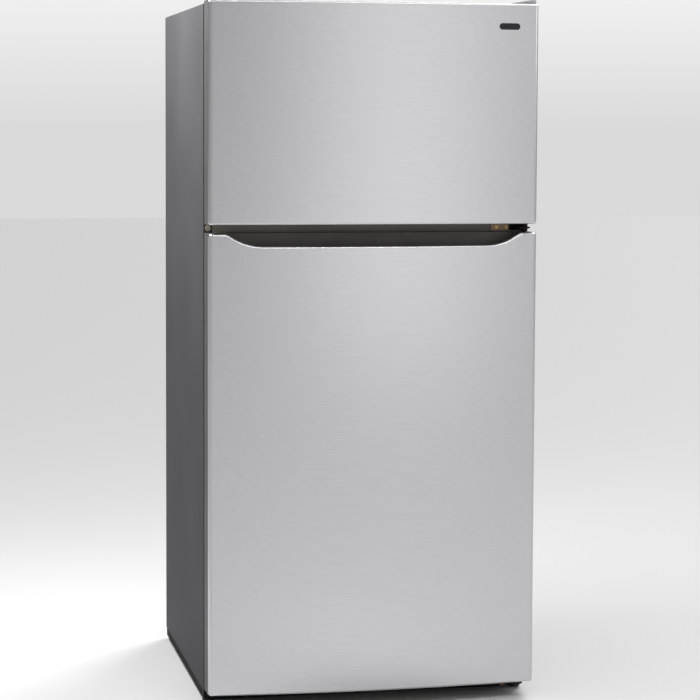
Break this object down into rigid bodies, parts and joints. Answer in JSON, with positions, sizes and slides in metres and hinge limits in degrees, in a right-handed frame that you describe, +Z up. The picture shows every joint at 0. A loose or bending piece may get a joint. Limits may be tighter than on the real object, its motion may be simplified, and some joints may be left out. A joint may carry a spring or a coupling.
{
  "type": "top freezer refrigerator",
  "caption": "Free-standing refrigerator with the freezer on top, bowed steel doors hinged on the right, a dipped pocket handle, glass shelves, drawers and door bins.",
  "frame": {"origin": "on the floor, under the middle of the footprint", "axes": "+Z up; the doors face -Y; +X to the right of a person facing the doors, where the hinges are"},
  "size_m": [0.826, 0.856, 1.7525],
  "materials": {
    "brushed_stainless": "horizontal hairline brushing, satin",
    "painted_steel_grey": "fine textured baked enamel",
    "galvanised_steel": "zinc-coated sheet, dull",
    "black_enamel_steel": "black baked enamel",
    "zinc_plated_steel": "zinc plate",
    "brass_screw": "yellow zinc plate",
    "polyurethane_foam": "rigid foam, cut",
    "hips_liner": "vacuum-formed, satin gloss",
    "grey_trim": "moulded, fine grain",
    "dark_grey_cap": "moulded, fine grain",
    "light_grey_cover": "moulded, fine grain",
    "beige_cap": "moulded",
    "grey_gasket": "soft extruded vinyl",
    "black_rubber": "moulded rubber",
    "black_plastic": "moulded",
    "white_plastic": "moulded, satin",
    "clear_bin": "clear polystyrene",
    "shelf_glass": "tempered glass",
    "lamp_cover": "frosted diffuser",
    "aluminium_fins": "mill finish",
    "painted_compressor": "black gloss enamel",
    "nylon_roller": "nylon",
    "dark_badge": "plain, no lettering"
  },
  "bodies": {
    "cabinet": {"air_duct": "white_plastic", "back_panel": "galvanised_steel", "base_frame": "galvanised_steel", "bay_panels": "galvanised_steel", "bottom_hinge": "zinc_plated_steel", "cabinet_insulation": "polyurethane_foam", "cabinet_wrapper": "painted_steel_grey", "ceiling_housings": "white_plastic", "compressor": "painted_compressor", "compressor_mounts": "black_rubber", "condenser_coil": "black_enamel_steel", "cord_gland": "black_rubber", "drain_pan": "black_plastic", "evaporator_coil": "aluminium_fins", "evaporator_cover": "white_plastic", "fan_motors": "zinc_plated_steel", "freezer_liner": "hips_liner", "fridge_liner": "hips_liner", "hinge_hole_caps": "beige_cap", "kick_plate": "dark_grey_cap", "lamp_lenses": "lamp_cover", "machine_cover": "galvanised_steel", "mid_rail": "painted_steel_grey", "middle_hinge": "zinc_plated_steel", "screws": "brass_screw", "shelf_frames": "white_plastic", "shelf_glasses": "shelf_glass", "top_hinge": "zinc_plated_steel", "top_hinge_cover": "light_grey_cover"},
    "fridge_door": {"fridge_door_skin": "brushed_stainless", "fridge_door_insulation": "polyurethane_foam", "fridge_door_top_cap": "dark_grey_cap", "fridge_door_bottom_cap": "dark_grey_cap", "fridge_door_side_trims": "grey_trim", "fridge_door_liner": "hips_liner", "fridge_gasket": "grey_gasket", "fridge_door_bins": "clear_bin", "dairy_box": "clear_bin"},
    "freezer_door": {"freezer_door_skin": "brushed_stainless", "freezer_door_insulation": "polyurethane_foam", "freezer_door_top_cap": "dark_grey_cap", "freezer_door_bottom_cap": "dark_grey_cap", "freezer_door_side_trims": "grey_trim", "freezer_door_liner": "hips_liner", "freezer_gasket": "grey_gasket", "freezer_door_bins": "clear_bin", "badge": "dark_badge"},
    "dairy_lid": {"dairy_lid": "clear_bin"},
    "crisper_left": {"crisper_left": "clear_bin"},
    "crisper_right": {"crisper_right": "clear_bin"},
    "deli_drawer": {"deli_drawer": "clear_bin"},
    "fridge_light_switch": {"fridge_light_switch": "white_plastic"},
    "freezer_light_switch": {"freezer_light_switch": "white_plastic"},
    "temperature_dial": {"temperature_dial": "light_grey_cover"},
    "condenser_fan": {"condenser_fan": "black_plastic"},
    "evaporator_fan": {"evaporator_fan": "white_plastic"},
    "rear_roller_left": {"rear_roller_left": "nylon_roller"},
    "rear_roller_right": {"rear_roller_right": "nylon_roller"},
    "levelling_leg_left": {"levelling_leg_left": "black_plastic"},
    "levelling_leg_right": {"levelling_leg_right": "black_plastic"}
  },
  "joints": [
    {"name": "fridge_door_hinge", "type": "hinge", "parent": "cabinet", "child": "fridge_door", "pos_m": [0.393, -0.358, 0.6], "axis": [0, 0, 1], "range_deg": [0, 130]},
    {"name": "freezer_door_hinge", "type": "hinge", "parent": "cabinet", "child": "freezer_door", "pos_m": [0.393, -0.358, 1.46], "axis": [0, 0, 1], "range_deg": [0, 130]},
    {"name": "dairy_lid_hinge", "type": "hinge", "parent": "fridge_door", "child": "dairy_lid", "pos_m": [-0.149, -0.317, 1.004], "axis": [1, 0, 0], "range_deg": [0, 80]},
    {"name": "crisper_left_slide", "type": "slide", "parent": "cabinet", "child": "crisper_left", "axis": [0, -1, 0], "range_m": [0, 0.18]},
    {"name": "crisper_right_slide", "type": "slide", "parent": "cabinet", "child": "crisper_right", "axis": [0, -1, 0], "range_m": [0, 0.18]},
    {"name": "deli_drawer_slide", "type": "slide", "parent": "cabinet", "child": "deli_drawer", "axis": [0, -1, 0], "range_m": [0, 0.18]},
    {"name": "fridge_switch_plunge", "type": "slide", "parent": "cabinet", "child": "fridge_light_switch", "axis": [0, -1, 0], "range_m": [0, 0.006]},
    {"name": "freezer_switch_plunge", "type": "slide", "parent": "cabinet", "child": "freezer_light_switch", "axis": [0, -1, 0], "range_m": [0, 0.006]},
    {"name": "temperature_dial_turn", "type": "hinge", "parent": "cabinet", "child": "temperature_dial", "pos_m": [0, -0.262, 1.121], "axis": [0, -1, 0], "range_deg": [0, 270]},
    {"name": "condenser_fan_spin", "type": "hinge", "parent": "cabinet", "child": "condenser_fan", "pos_m": [-0.03, 0.316, 0.13], "axis": [1, 0, 0], "continuous": true},
    {"name": "evaporator_fan_spin", "type": "hinge", "parent": "cabinet", "child": "evaporator_fan", "pos_m": [0, 0.324, 1.545], "axis": [0, 1, 0], "continuous": true},
    {"name": "rear_roller_left_spin", "type": "hinge", "parent": "cabinet", "child": "rear_roller_left", "pos_m": [-0.3975, 0.38, 0.015], "axis": [1, 0, 0], "continuous": true},
    {"name": "levelling_leg_left_turn", "type": "hinge", "parent": "cabinet", "child": "levelling_leg_left", "pos_m": [-0.3975, -0.285, 0.02], "axis": [0, 0, 1], "continuous": true},
    {"name": "rear_roller_right_spin", "type": "hinge", "parent": "cabinet", "child": "rear_roller_right", "pos_m": [0.3975, 0.38, 0.015], "axis": [1, 0, 0], "continuous": true},
    {"name": "levelling_leg_right_turn", "type": "hinge", "parent": "cabinet", "child": "levelling_leg_right", "pos_m": [0.3975, -0.285, 0.02], "axis": [0, 0, 1], "continuous": true}
  ],
  "couplings": [
    {"joint": "crisper_left_slide", "follows": "fridge_door_hinge", "m_per_rad": 0.079},
    {"joint": "crisper_right_slide", "follows": "fridge_door_hinge", "m_per_rad": 0.079},
    {"joint": "deli_drawer_slide", "follows": "fridge_door_hinge", "m_per_rad": 0.079},
    {"joint": "fridge_switch_plunge", "follows": "fridge_door_hinge", "m_per_rad": 0.0026},
    {"joint": "freezer_switch_plunge", "follows": "freezer_door_hinge", "m_per_rad": 0.0026}
  ]
}
